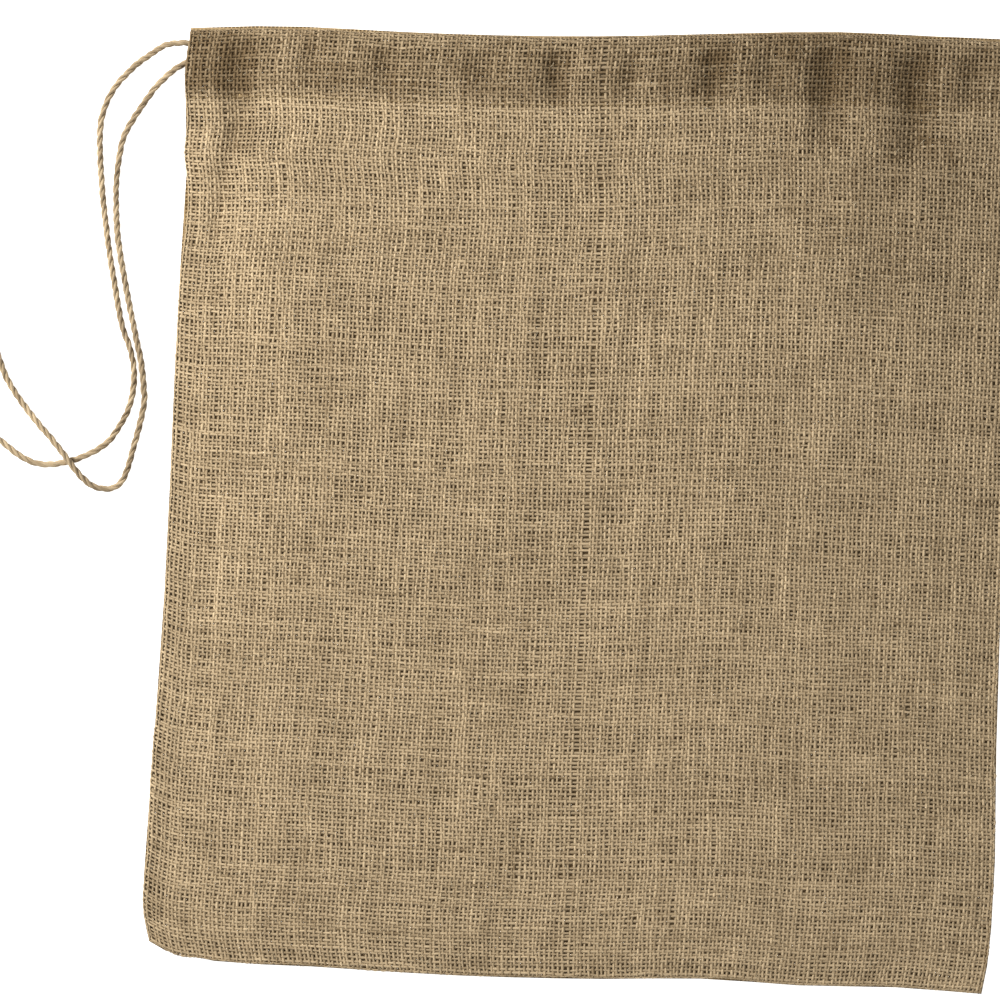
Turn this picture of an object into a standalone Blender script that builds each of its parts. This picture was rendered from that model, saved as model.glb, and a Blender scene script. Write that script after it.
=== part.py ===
"""Drawstring sack of natural jute hessian, lying flat on its back panel.

Two cut panels of hessian lie one on the other, joined down both sides and along
the bottom. The top of each is folded inside as a hem, and one jute cord runs
through the front hem, round inside the right-hand seam and back through the back
hem. Both its ends come out at the left, lie loose on the surface in a slack bight
and meet in one overhand knot.

Frame: +X to the right across the sack, +Y towards its mouth, +Z up off the
surface. The origin is the middle of the sack's outline, on the surface.
Sizes are in millimetres here and become metres where a mesh is made.
"""

import math

import bpy
import numpy as np

MM = 0.001

# Cloth and gaps.
CLOTH = 1.0               # thickness of the hessian
GAP = 0.3                 # clearance between pieces that touch
HEM_DEPTH = 34.0          # fold line down to the stitch line
FOLD_RADIUS = 0.8         # of the middle of the cloth, at the mouth's fold
FOLD_STEPS = 4            # facets round the fold

# Cord and its two channels, measured down from the mouth's fold.
CORD = 3.0                # cord diameter
FRONT_CORD_DEPTH = 8.0
BACK_CORD_DEPTH = 16.5
CORD_SPACING = 7.5        # between the points of the loose strands
CHANNEL_SPACING = 20.0    # between the points of the nearly straight runs
CHANNEL_INSET = 4.0       # the channel run stops this far inside the left edge
TURN_INSET = 15.0         # where the cord leaves the channels, from the right edge
TURN_POINTS = 7
NOTCH = 18.0              # how far the hems' inner layers stop short, at the right
NOTCH_FROM = 1.0          # depths between which the inner layer narrows
NOTCH_TO = 6.0

# Heights of the middle of each layer of cloth above the surface.
BACK_Z = CLOTH / 2
BACK_INNER_Z = BACK_Z + 2 * FOLD_RADIUS
SEAM_Z = CLOTH + GAP + CLOTH / 2
FRONT_INNER_LOW = BACK_INNER_Z + CLOTH + GAP
FRONT_INNER_HIGH = 10.6   # over the open middle of the mouth
CORD_BULGE = CORD + 2 * GAP + CLOTH - 2 * FOLD_RADIUS
FRONT_PUFF = CORD_BULGE + 1.1
BULGE_REACH = 8.0         # half width of the bulge over the back cord
PUFF_RISE = 6.0           # depth at which the front hem is fully puffed
PUFF_HOLD = 12.0          # depth down to which it stays so
HEM_FADE = 30.0           # the hem's height fades into the body's over this depth
SIDE_RISE = 62.0          # distances over which the front panel rises from its
FOOT_RISE = 48.0          # side seams and from its bottom seam
RIGHT_CLOSE = 8.0         # the hem comes down to its layers this near the edge

# Outline: share of the way up (or across), then the edge's place in mm.
LEFT_EDGE = (
    (0.000, -208.0), (0.025, -210.5), (0.110, -209.0), (0.200, -207.0),
    (0.285, -203.5), (0.460, -199.0), (0.720, -193.8), (0.845, -190.4),
    (0.860, -191.4), (0.900, -190.0), (0.940, -190.9), (1.000, -187.8),
)
RIGHT_EDGE = (
    (0.000, 191.5), (0.035, 194.7), (0.080, 196.6), (0.290, 199.0),
    (0.520, 202.8), (0.780, 207.1), (1.000, 210.5),
)
BOTTOM_EDGE = (
    (0.000, -207.0), (0.025, -212.6), (0.070, -216.0), (0.190, -219.0),
    (0.380, -223.6), (0.530, -225.1), (0.670, -225.1), (0.790, -228.4),
    (0.890, -229.0), (1.000, -232.3),
)
TOP_EDGE = (
    (0.000, 231.4), (0.110, 232.3), (0.190, 230.9), (0.260, 229.4),
    (0.520, 227.5), (0.610, 228.3), (0.815, 229.0), (0.860, 228.0),
    (1.000, 225.6),
)

# Loft of the front panel's middle over its seams: share of the way up, mm.
LOFT = (
    (0.00, 3.2), (0.25, 4.6), (0.50, 6.6), (0.72, 8.8), (0.90, 9.6), (1.00, 9.6),
)

# Openness of the mouth: share of the width, share of the full lift.
MOUTH = (
    (0.00, 0.00), (0.06, 0.05), (0.18, 0.42), (0.34, 1.00), (0.66, 1.00),
    (0.80, 0.50), (0.94, 0.05), (1.00, 0.00),
)

# Gathers pressed into the front hem: share of the width, depth below the fold
# of the trough's two ends, how deep it is and its half width.
GATHERS = (
    (0.040, 8.0, 30.0, 0.7, 8.0),
    (0.135, 6.0, 26.0, 0.9, 9.0),
    (0.220, 6.0, 30.0, 1.0, 9.0),
    (0.320, 22.0, 38.0, 0.9, 9.0),
    (0.422, 6.0, 28.0, 1.0, 9.0),
    (0.507, 9.0, 27.0, 0.8, 8.0),
    (0.612, 6.0, 26.0, 0.8, 10.0),
    (0.748, 11.0, 50.0, 1.0, 9.0),
    (0.845, 13.0, 54.0, 1.0, 9.0),
    (0.912, 6.0, 30.0, 0.8, 8.0),
)

# Soft creases of the front panel: both ends' x and y, depth and half width.
CREASES = (
    (-176.0, 184.0, -162.0, 118.0, 1.2, 9.0),
    (-184.0, 16.0, -182.0, -62.0, 0.8, 8.0),
    (-49.0, -190.0, -47.0, -222.0, 0.6, 8.0),
    (66.0, -120.0, 120.0, 30.0, 0.5, 26.0),
    (-110.0, 60.0, -60.0, -90.0, 0.5, 26.0),
)

# Stations of the cloth's grids: across, up the body, and down into the hem.
FRONT_COLUMNS = (
    (0.0, 0.012, 0.035), 32, (0.962, 0.98, 1.0),
)
BACK_COLUMNS = (
    (0.0, 0.02), 16, (0.955, 0.98, 1.0),
)
BODY_SHARES = (0.0, 0.012, 0.03, 0.07, 0.14, 0.26, 0.38, 0.50, 0.62, 0.74, 0.84)
FRONT_HEM_DEPTHS = (44.0, HEM_DEPTH, 26.0, 19.0, 14.0, 11.0, 8.0, 5.0, 2.5)
BACK_HEM_DEPTHS = (HEM_DEPTH, 16.0)
INNER_DEPTHS = (3.5, 8.5, 11.0, 13.5, 16.5, 19.5, 24.5, HEM_DEPTH)

# Loose strands, from the channel's end to the knot: x, y and height.
FRONT_STRAND = (
    (-185.2, 223.3, 5.7), (-191.5, 223.8, 5.7), (-199.5, 223.0, 4.6),
    (-206.0, 219.4, 2.7),
    (-212.5, 215.1, 1.7), (-217.8, 210.3, 1.6), (-223.5, 204.1, 1.6),
    (-227.8, 196.9, 1.6), (-230.7, 188.2, 1.6), (-231.6, 178.2, 1.6),
    (-230.7, 156.2, 1.6), (-227.8, 129.3, 1.6), (-224.0, 104.9, 1.6),
    (-221.0, 88.5, 1.6), (-217.1, 77.1, 1.6), (-215.2, 66.0, 1.6),
    (-216.0, 55.6, 1.6), (-218.4, 47.4, 1.6), (-222.3, 40.2, 1.6),
    (-227.0, 33.5, 1.6), (-233.1, 28.9, 1.6), (-240.8, 25.2, 1.6),
    (-247.0, 23.3, 1.6), (-254.2, 22.0, 1.6), (-261.8, 22.4, 1.6),
    (-269.0, 25.4, 1.6), (-279.0, 33.1, 1.6), (-287.0, 40.5, 1.6),
    (-295.0, 50.0, 1.6), (-302.0, 61.0, 1.6), (-308.0, 73.5, 1.9),
    (-312.4, 84.0, 3.1), (-316.3, 92.7, 4.4),
)
BACK_STRAND = (
    (-186.6, 214.9, 2.8), (-190.6, 214.3, 2.7), (-195.5, 211.6, 2.2),
    (-201.2, 206.7, 1.7),
    (-206.0, 201.5, 1.6), (-210.6, 195.0, 1.6), (-215.3, 188.0, 1.6),
    (-219.7, 180.1, 1.6), (-222.1, 171.0, 1.6), (-223.8, 154.8, 1.6),
    (-223.0, 131.7, 1.6), (-218.7, 104.9, 1.6), (-214.4, 83.5, 1.6),
    (-211.8, 70.9, 1.6), (-210.5, 58.4, 1.6), (-210.7, 49.3, 1.6),
    (-214.9, 32.1, 1.6), (-219.5, 16.8, 1.6), (-223.4, 11.6, 1.6),
    (-228.8, 10.2, 1.9), (-235.0, 11.5, 2.9), (-240.0, 15.5, 4.0),
    (-244.2, 20.6, 4.8), (-248.7, 26.7, 4.8), (-254.2, 33.5, 3.9),
    (-260.9, 41.2, 2.6), (-267.1, 49.0, 1.7), (-272.8, 57.0, 1.6),
    (-277.2, 65.0, 1.6), (-282.0, 77.5, 1.6), (-288.5, 84.4, 1.6),
    (-297.0, 88.8, 2.0), (-306.0, 91.9, 3.2), (-314.0, 95.3, 4.4),
)
KNOT_CENTRE = (-322.0, 100.0, 4.6)
KNOT_RADII = (8.6, 6.8, 4.5)
KNOT_TURN = 140.0         # degrees from +X to the knot's long way
FRONT_TAIL = ((-330.2, 104.4, 3.4), (-335.0, 107.0, 2.0), (-341.0, 111.5, 1.6),
              (-346.0, 117.5, 1.6))
BACK_TAIL = ((-327.8, 107.8, 3.4), (-330.6, 113.0, 2.0), (-333.0, 120.0, 1.6),
             (-333.6, 127.0, 1.6))

JUTE = (0.39, 0.27, 0.15, 1.0)
JUTE_INSIDE = (0.34, 0.23, 0.12, 1.0)
JUTE_CORD = (0.46, 0.34, 0.19, 1.0)


def through(rows, shares):
    """Smooth curve through a table's rows: cubic, with the rows' own slopes."""
    table = np.array(rows, float)
    x, y = table[:, 0], table[:, 1]
    slope = np.gradient(y, x)
    shares = np.clip(np.asarray(shares, float), x[0], x[-1])
    i = np.clip(np.searchsorted(x, shares, side="right") - 1, 0, len(x) - 2)
    step = x[i + 1] - x[i]
    t = (shares - x[i]) / step
    start = (1 + 2 * t) * (1 - t) ** 2 * y[i] + t * (1 - t) ** 2 * step * slope[i]
    end = t * t * (3 - 2 * t) * y[i + 1] + t * t * (t - 1) * step * slope[i + 1]
    return start + end


def smooth(low, high, value):
    """0 below low, 1 above high, and an even S between them."""
    t = np.clip((value - low) / (high - low), 0.0, 1.0)
    return t * t * (3 - 2 * t)


def place(u, v):
    """Plan position of the cloth's point a share u across and v up."""
    left, right = through(LEFT_EDGE, v), through(RIGHT_EDGE, v)
    bottom, top = through(BOTTOM_EDGE, u), through(TOP_EDGE, u)
    return left + (right - left) * u, bottom + (top - bottom) * v


def share_at(u, depth):
    """Share of the way up that lies a depth below the mouth's fold."""
    return 1.0 - depth / (through(TOP_EDGE, u) - through(BOTTOM_EDGE, u))


def mouth_lift(u):
    """Openness of the mouth at a share of its width."""
    return np.clip(through(MOUTH, u), 0.0, 1.0)


def back_bulge(depth):
    """Rise of the cloth over the back cord: a raised cosine across it."""
    near = np.clip(np.abs(depth - BACK_CORD_DEPTH) / BULGE_REACH, 0.0, 1.0)
    return CORD_BULGE * np.cos(near * math.pi / 2) ** 2


def front_inner_z(u, depth):
    """Inner layer of the front hem: on the back hem at the sides, flat between."""
    lift = mouth_lift(u)
    resting = FRONT_INNER_LOW + back_bulge(depth)
    return resting + (FRONT_INNER_HIGH - resting) * lift


def gathers(u, depth):
    """Depth of the troughs pressed into the front hem, summed."""
    total = np.zeros(np.broadcast(u, depth).shape)
    width = RIGHT_EDGE[-1][1] - LEFT_EDGE[-1][1]
    for centre, start, end, deep, reach in GATHERS:
        across = np.exp(-((u - centre) * width / reach) ** 2)
        along = smooth(start - 6, start + 6, depth) * (1 - smooth(end - 8, end + 8, depth))
        total = total + deep * across * along
    return total


def creases(x, y):
    """Depth of the body's creases: round-bottomed grooves along short lines."""
    total = np.zeros(np.broadcast(x, y).shape)
    for x0, y0, x1, y1, deep, reach in CREASES:
        length = math.hypot(x1 - x0, y1 - y0)
        along = ((x - x0) * (x1 - x0) + (y - y0) * (y1 - y0)) / length
        aside = ((x - x0) * (y1 - y0) - (y - y0) * (x1 - x0)) / length
        past = np.maximum(np.maximum(-along, along - length), 0.0)
        total = total + deep * np.exp(-(aside ** 2 + past ** 2) / reach ** 2)
    return total


def front_z(u, v):
    """Middle of the front panel's outer layer: hem puffed over its cord, then body.

    The hem stands on its inner layer, rises from the fold over the cord and comes
    back to the stitch line. The body rises from its three seams by a quarter sine.
    """
    x, y = place(u, v)
    depth = through(TOP_EDGE, u) * 1.0 - y
    lift = mouth_lift(u)
    base = FRONT_INNER_LOW + (FRONT_INNER_HIGH - FRONT_INNER_LOW) * lift
    to_right = through(RIGHT_EDGE, v) - x
    close = np.sin(np.clip(to_right / RIGHT_CLOSE, 0.0, 1.0) * math.pi / 2)
    rise = np.sin(np.clip(depth / PUFF_RISE, 0.0, 1.0) * math.pi / 2)
    fall = 1.0 - smooth(PUFF_HOLD, HEM_DEPTH, depth)
    puff = FRONT_PUFF * rise * fall * close
    hem = base + 2 * FOLD_RADIUS + puff - gathers(u, depth) * rise * close * 0.8

    sides = np.minimum(x - through(LEFT_EDGE, v), to_right)
    side = np.sin(np.clip(sides / SIDE_RISE, 0.0, 1.0) * math.pi / 2)
    foot = np.sin(np.clip((y - through(BOTTOM_EDGE, u)) / FOOT_RISE, 0.0, 1.0) * math.pi / 2)
    sunk = (creases(x, y) + gathers(u, depth)) * side
    body = SEAM_Z + through(LOFT, v) * side * foot - sunk * foot
    into_body = smooth(HEM_DEPTH, HEM_DEPTH + HEM_FADE, depth)
    return hem + (body - hem) * into_body


def columns(plan):
    """Shares of the width: close stations by the edges, even ones between."""
    left, count, right = plan
    middle = np.linspace(left[-1], right[0], count + 1)
    return np.concatenate([left[:-1], middle, right[1:]])


def fold_rows(top_z, inner_z, step):
    """Height and overhang of one row round the fold, from outer to inner layer."""
    turn = math.pi * step / FOLD_STEPS
    middle = (top_z + inner_z) / 2
    half = (top_z - inner_z) / 2
    return middle + half * math.cos(turn), FOLD_RADIUS * math.sin(turn)


def panel_rows(u, outer_z, inner_z, hem_depths):
    """Rows of the panel's mid-surface: up the body, over the fold, down the hem.

    Each row is an array of x, y, z. The outer layer is set back from the mouth's
    edge by the fold's radius, and the fold is half an ellipse between the layers.
    The inner layer narrows towards its right end, where the cord turns back.
    """
    rows = []
    set_back = FOLD_RADIUS + CLOTH / 2
    for v in BODY_SHARES:
        v = np.full(u.shape, v)
        x, y = place(u, v)
        rows.append((x, y, outer_z(u, v)))
    for depth in hem_depths + (set_back,):
        v = share_at(u, depth)
        x, y = place(u, v)
        rows.append((x, y, outer_z(u, v)))
    x, y, top = rows[-1]
    low = inner_z(u, set_back)
    for step in range(1, FOLD_STEPS):
        z, out = fold_rows(top, low, step)
        rows.append((x, y + out, z))
    for depth in (set_back,) + INNER_DEPTHS:
        v = share_at(u, depth)
        x, y = place(u, v)
        short = NOTCH * smooth(NOTCH_FROM, NOTCH_TO, depth)
        left = through(LEFT_EDGE, v)
        right = through(RIGHT_EDGE, v)
        x = left + (x - left) * (right - short - left) / (right - left)
        across = (x - left) / (right - left)
        rows.append((x, y, inner_z(across, depth)))
    return rows


def jute_material(name, colour, roughness):
    """Plain matt jute."""
    material = bpy.data.materials.new(name)
    material.use_nodes = True
    shader = material.node_tree.nodes["Principled BSDF"]
    shader.inputs["Base Color"].default_value = colour
    shader.inputs["Roughness"].default_value = roughness
    shader.inputs["Metallic"].default_value = 0.0
    return material


def add_object(name, data, material):
    """Link a mesh or curve to the scene under its node's name."""
    thing = bpy.data.objects.new(name, data)
    data.materials.append(material)
    bpy.context.scene.collection.objects.link(thing)
    return thing


def add_cloth(name, rows, material):
    """One sheet of cloth: a grid through the rows, thickened on both sides."""
    points = np.array([np.stack(row, axis=-1) for row in rows]) * MM
    height, width = points.shape[:2]
    index = np.arange(height * width).reshape(height, width)
    corners = (index[:-1, :-1], index[:-1, 1:], index[1:, 1:], index[1:, :-1])
    faces = np.stack(corners, axis=-1).reshape(-1, 4)
    mesh = bpy.data.meshes.new(name)
    mesh.from_pydata(points.reshape(-1, 3).tolist(), [], faces.tolist())
    mesh.shade_smooth()
    sheet = add_object(name, mesh, material)
    solid = sheet.modifiers.new("Cloth thickness", "SOLIDIFY")
    solid.thickness = CLOTH * MM
    solid.offset = 0.0
    solid.use_even_offset = True
    solid.use_quality_normals = True
    return sheet


def along(route, spacing):
    """Even points on a smooth curve through the route's own points."""
    knots = np.array(route, float)
    tangents = np.gradient(knots, axis=0)
    fine = []
    for i in range(len(knots) - 1):
        t = np.linspace(0.0, 1.0, 24, endpoint=False)[:, None]
        start = (1 + 2 * t) * (1 - t) ** 2 * knots[i] + t * (1 - t) ** 2 * tangents[i]
        end = t * t * (3 - 2 * t) * knots[i + 1] + t * t * (t - 1) * tangents[i + 1]
        fine.append(start + end)
    fine = np.vstack(fine + [knots[-1:]])
    run = np.concatenate([[0.0], np.cumsum(np.linalg.norm(np.diff(fine, axis=0), axis=1))])
    count = max(int(round(run[-1] / spacing)), 2) + 1
    even = np.linspace(0.0, run[-1], count)
    return np.stack([np.interp(even, run, fine[:, k]) for k in range(3)], axis=1)


def add_cord(name, points, material):
    """A round cord along its points, with closed ends."""
    curve = bpy.data.curves.new(name, "CURVE")
    curve.dimensions = "3D"
    curve.bevel_depth = CORD / 2 * MM
    curve.bevel_resolution = 2
    curve.use_fill_caps = True
    spline = curve.splines.new("POLY")
    spline.points.add(len(points) - 1)
    for point, where in zip(spline.points, points * MM):
        point.co = (where[0], where[1], where[2], 1.0)
    spline.use_smooth = True
    return add_object(name, curve, material)


def channel_route():
    """The cord's run: front channel, a turn inside the right seam, back channel."""
    width = RIGHT_EDGE[-1][1] - LEFT_EDGE[-1][1]
    start = CHANNEL_INSET / width
    end = 1.0 - TURN_INSET / width
    count = int(round(width / CHANNEL_SPACING))
    u = np.linspace(start, end, count)
    x, y = place(u, share_at(u, FRONT_CORD_DEPTH))
    z = front_inner_z(u, FRONT_CORD_DEPTH) + CLOTH / 2 + GAP + CORD / 2
    front = np.stack([x, y, z], axis=1)
    x, y = place(u, share_at(u, BACK_CORD_DEPTH))
    z = np.full(u.shape, CLOTH + GAP + CORD / 2)
    back = np.stack([x, y, z], axis=1)

    middle = (front[-1] + back[-1]) / 2
    half = (front[-1] - back[-1]) / 2
    radius = np.linalg.norm(half)
    turn = np.pi * np.arange(1, TURN_POINTS + 1)[:, None] / (TURN_POINTS + 1)
    bend = middle + half * np.cos(turn) + np.array([radius, 0.0, 0.0]) * np.sin(turn)
    return np.vstack([front, bend, back[::-1]])


def add_knot(name, material):
    """The overhand knot as one rounded lump, a little longer than wide."""
    rings, sides = 8, 14
    polar = np.pi * np.arange(1, rings) / rings
    round_about = 2 * np.pi * np.arange(sides) / sides
    ring, side = np.meshgrid(polar, round_about, indexing="ij")
    unit = np.stack([np.cos(ring), np.sin(ring) * np.cos(side), np.sin(ring) * np.sin(side)], -1)
    unit = np.vstack([[[1.0, 0.0, 0.0]], unit.reshape(-1, 3), [[-1.0, 0.0, 0.0]]])
    local = unit * np.array(KNOT_RADII)
    angle = math.radians(KNOT_TURN)
    x = local[:, 0] * math.cos(angle) - local[:, 1] * math.sin(angle)
    y = local[:, 0] * math.sin(angle) + local[:, 1] * math.cos(angle)
    points = (np.stack([x, y, local[:, 2]], 1) + np.array(KNOT_CENTRE)) * MM
    faces = []
    for j in range(sides):
        k = (j + 1) % sides
        faces.append((0, 1 + j, 1 + k))
        last = 1 + (rings - 2) * sides
        faces.append((len(points) - 1, last + k, last + j))
        for i in range(rings - 2):
            a = 1 + i * sides
            faces.append((a + j, a + sides + j, a + sides + k, a + k))
    mesh = bpy.data.meshes.new(name)
    mesh.from_pydata(points.tolist(), [], faces)
    mesh.shade_smooth()
    return add_object(name, mesh, material)


for thing in list(bpy.data.objects):
    bpy.data.objects.remove(thing, do_unlink=True)

cloth = jute_material("hessian_face", JUTE, 0.95)
cloth_back = jute_material("hessian_back", JUTE_INSIDE, 0.95)
cord = jute_material("jute_cord", JUTE_CORD, 0.85)

across = columns(FRONT_COLUMNS)
add_cloth("front_panel", panel_rows(across, front_z, front_inner_z, FRONT_HEM_DEPTHS), cloth)

across = columns(BACK_COLUMNS)
flat = panel_rows(
    across,
    lambda u, v: np.full(u.shape, BACK_Z),
    lambda u, depth: BACK_INNER_Z + back_bulge(depth) * np.ones(u.shape),
    BACK_HEM_DEPTHS,
)
add_cloth("back_panel", flat, cloth_back)

add_cord("drawstring_in_hem", channel_route(), cord)
add_cord("drawstring_front_strand", along(FRONT_STRAND, CORD_SPACING), cord)
add_cord("drawstring_back_strand", along(BACK_STRAND, CORD_SPACING), cord)
add_knot("drawstring_knot", cord)
add_cord("drawstring_front_tail", along(FRONT_TAIL, CORD_SPACING), cord)
add_cord("drawstring_back_tail", along(BACK_TAIL, CORD_SPACING), cord)
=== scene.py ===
"""Drawstring sack of natural jute hessian, lying flat and seen from straight above.

Sizes are millimetres and become metres where a mesh is made, except those of the
camera, the floor and the lights, which are metres. +X is to the right across the
sack, +Y towards its mouth and +Z up. The origin is the middle of its outline.
"""

import math

import bpy
import numpy as np
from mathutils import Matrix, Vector


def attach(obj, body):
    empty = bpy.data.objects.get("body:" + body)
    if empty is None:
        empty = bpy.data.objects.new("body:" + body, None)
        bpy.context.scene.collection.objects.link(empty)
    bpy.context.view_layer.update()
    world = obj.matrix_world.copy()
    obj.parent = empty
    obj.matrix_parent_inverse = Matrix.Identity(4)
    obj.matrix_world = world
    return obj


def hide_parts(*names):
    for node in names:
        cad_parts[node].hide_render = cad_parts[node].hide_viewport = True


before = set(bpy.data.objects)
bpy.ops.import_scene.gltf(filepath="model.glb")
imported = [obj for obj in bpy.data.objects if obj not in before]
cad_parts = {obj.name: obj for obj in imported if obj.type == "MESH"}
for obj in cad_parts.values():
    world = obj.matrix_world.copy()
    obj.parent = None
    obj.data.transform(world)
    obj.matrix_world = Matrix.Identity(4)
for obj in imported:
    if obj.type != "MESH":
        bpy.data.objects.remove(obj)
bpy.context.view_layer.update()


# --- Camera ------------------------------------------------------------------------
# A long lens straight above the sack. The view is 479 mm square and reaches further
# past the left side, where the drawstring lies, so the top right corner is cut off.

VIEW_WIDTH = 0.479
VIEW_CENTRE = (-0.0396, 0.0048)
CLOTH_LEVEL = 0.006       # height at which the view is that wide
LENS = 180.0              # lens and sensor in mm
SENSOR = 36.0
VIEW_END = 10.0

camera_data = bpy.data.cameras.new("overhead_camera")
camera_data.lens = LENS
camera_data.sensor_width = SENSOR
camera = bpy.data.objects.new("overhead_camera", camera_data)
camera_height = VIEW_WIDTH * LENS / SENSOR + CLOTH_LEVEL
camera.location = (VIEW_CENTRE[0], VIEW_CENTRE[1], camera_height)
camera_data.clip_end = VIEW_END
bpy.context.scene.collection.objects.link(camera)
bpy.context.scene.camera = camera


# --- Drawstring: the two loose strands ----------------------------------------------
# One 3 mm jute cord of three plies twisted together. Its two ends come out of the
# left ends of the hem's channels, lie on the surface in a slack bight and meet in a
# knot. The back strand passes once over the front one, in a long low hump.

MM = 0.001

CORD = 3.0                # diameter
PLY_COUNT = 3
PLY_LAY = 15.0            # length of one whole turn of the plies
PLY_CENTRE = 0.74         # from the cord's middle to a ply's middle
PLY_RADIUS = 0.86
PLY_SIDES = 9
PLY_UNEVEN = (0.35, 40)   # stray of the twist in radians, and the rings between two
PLY_SWELL = (0.06, 7)     # share that a ply's thickness varies by, and its rings
PLY_DRIFT = (0.04, 9)     # share that a ply's place varies by, and its rings
PLY_TINT = (0.09, 12)     # how far a ply's tint varies, and its rings
CORD_STEP = 0.9           # between the rings of a ply
STRAW_CORD = ("#6f5c43", "#c6b08d")   # darkest and lightest fibres

FRONT_STRAND = (
    (-185.2, 223.3, 5.7), (-191.5, 223.8, 5.7), (-199.5, 223.0, 4.6),
    (-206.0, 219.4, 2.7),
    (-212.5, 215.1, 1.7), (-217.8, 210.3, 1.6), (-223.5, 204.1, 1.6),
    (-227.8, 196.9, 1.6), (-230.7, 188.2, 1.6), (-231.6, 178.2, 1.6),
    (-230.7, 156.2, 1.6), (-227.8, 129.3, 1.6), (-224.0, 104.9, 1.6),
    (-221.0, 88.5, 1.6), (-217.1, 77.1, 1.6), (-215.2, 66.0, 1.6),
    (-216.0, 55.6, 1.6), (-218.4, 47.4, 1.6), (-222.3, 40.2, 1.6),
    (-227.0, 33.5, 1.6), (-233.1, 28.9, 1.6), (-240.8, 25.2, 1.6),
    (-247.0, 23.3, 1.6), (-254.2, 22.0, 1.6), (-261.8, 22.4, 1.6),
    (-269.0, 25.4, 1.6), (-279.0, 33.1, 1.6), (-287.0, 40.5, 1.6),
    (-295.0, 50.0, 1.6), (-302.0, 61.0, 1.6), (-308.0, 73.5, 1.9),
    (-312.4, 84.0, 3.1), (-316.3, 92.7, 4.4),
)
BACK_STRAND = (
    (-186.6, 214.9, 2.8), (-190.6, 214.3, 2.7), (-195.5, 211.6, 2.2),
    (-201.2, 206.7, 1.7),
    (-206.0, 201.5, 1.6), (-210.6, 195.0, 1.6), (-215.3, 188.0, 1.6),
    (-219.7, 180.1, 1.6), (-222.1, 171.0, 1.6), (-223.8, 154.8, 1.6),
    (-223.0, 131.7, 1.6), (-218.7, 104.9, 1.6), (-214.4, 83.5, 1.6),
    (-211.8, 70.9, 1.6), (-210.5, 58.4, 1.6), (-210.7, 49.3, 1.6),
    (-214.9, 32.1, 1.6), (-219.5, 16.8, 1.6), (-223.4, 11.6, 1.6),
    (-228.8, 10.2, 1.9), (-235.0, 11.5, 2.9), (-240.0, 15.5, 4.0),
    (-244.2, 20.6, 4.8), (-248.7, 26.7, 4.8), (-254.2, 33.5, 3.9),
    (-260.9, 41.2, 2.6), (-267.1, 49.0, 1.7), (-272.8, 57.0, 1.6),
    (-277.2, 65.0, 1.6), (-282.0, 77.5, 1.6), (-288.5, 84.4, 1.6),
    (-297.0, 88.8, 2.0), (-306.0, 91.9, 3.2), (-314.0, 95.3, 4.4),
)


def along(route, spacing):
    """Even points on a smooth curve through the route: a cubic between each two."""
    knots = np.array(route, float)
    tangents = np.gradient(knots, axis=0)
    t = np.linspace(0.0, 1.0, 24, endpoint=False)[None, :, None]
    p, q = knots[:-1, None], knots[1:, None]
    m, n = tangents[:-1, None], tangents[1:, None]
    start = (1 + 2 * t) * (1 - t) ** 2 * p + t * (1 - t) ** 2 * m
    end = t * t * (3 - 2 * t) * q + t * t * (t - 1) * n
    fine = np.vstack([(start + end).reshape(-1, 3), knots[-1:]])
    run = np.concatenate([[0.0], np.cumsum(np.linalg.norm(np.diff(fine, axis=0), axis=1))])
    even = np.linspace(0.0, run[-1], max(int(round(run[-1] / spacing)), 2) + 1)
    return np.stack([np.interp(even, run, fine[:, k]) for k in range(3)], axis=1)


def wander(rng, count, length, knots):
    """Smooth noise, one row for each of count: random knots joined by cosines."""
    values = rng.normal(0.0, 1.0, (count, knots + 1))
    place = np.linspace(0.0, knots - 1e-6, length)
    i = place.astype(int)
    t = (1 - np.cos((place - i) * math.pi)) / 2
    return values[:, i] * (1 - t) + values[:, i + 1] * t


def sides_of(line):
    """Unit vectors to the right of a line and above it, at each of its points."""
    ahead = np.gradient(line, axis=0)
    ahead /= np.linalg.norm(ahead, axis=1)[:, None]
    right = np.cross(ahead, (0.0, 0.0, 1.0))
    right /= np.linalg.norm(right, axis=1)[:, None]
    return right, np.cross(right, ahead)


def mesh_piece(name, points, quads, others=(), **attributes):
    """A mesh object from points in mm, quads, other faces and point attributes."""
    mesh = bpy.data.meshes.new(name)
    faces = [np.asarray(quads).reshape(-1, 4)] + [np.asarray([f]) for f in others]
    sizes = np.concatenate([np.full(len(f), f.shape[1]) for f in faces])
    corners = np.concatenate([f.ravel() for f in faces])
    points = np.asarray(points, float).reshape(-1, 3)
    mesh.vertices.add(len(points))
    mesh.vertices.foreach_set("co", (points * MM).ravel())
    mesh.loops.add(len(corners))
    mesh.loops.foreach_set("vertex_index", corners.astype(np.int32))
    mesh.polygons.add(len(sizes))
    starts = np.concatenate([[0], np.cumsum(sizes)[:-1]])
    mesh.polygons.foreach_set("loop_start", starts.astype(np.int32))
    mesh.update(calc_edges=True)
    for label, values in attributes.items():
        layer = mesh.attributes.new(label, "FLOAT", "POINT")
        layer.data.foreach_set("value", np.asarray(values, np.float32).ravel())
    mesh.shade_smooth()
    thing = bpy.data.objects.new(name, mesh)
    bpy.context.scene.collection.objects.link(thing)
    return thing


def tube_faces(tubes, rings, sides, start=0):
    """Quads round closed tubes and their two end faces; points run side, ring, tube."""
    index = start + np.arange(tubes * rings * sides).reshape(tubes, rings, sides)
    here, there = index, np.roll(index, -1, axis=2)
    quads = np.stack(
        [here[:, :-1], here[:, 1:], there[:, 1:], there[:, :-1]], axis=-1
    ).reshape(-1, 4)
    ends = np.concatenate([index[:, 0], index[:, -1, ::-1]])
    return quads, ends


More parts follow.
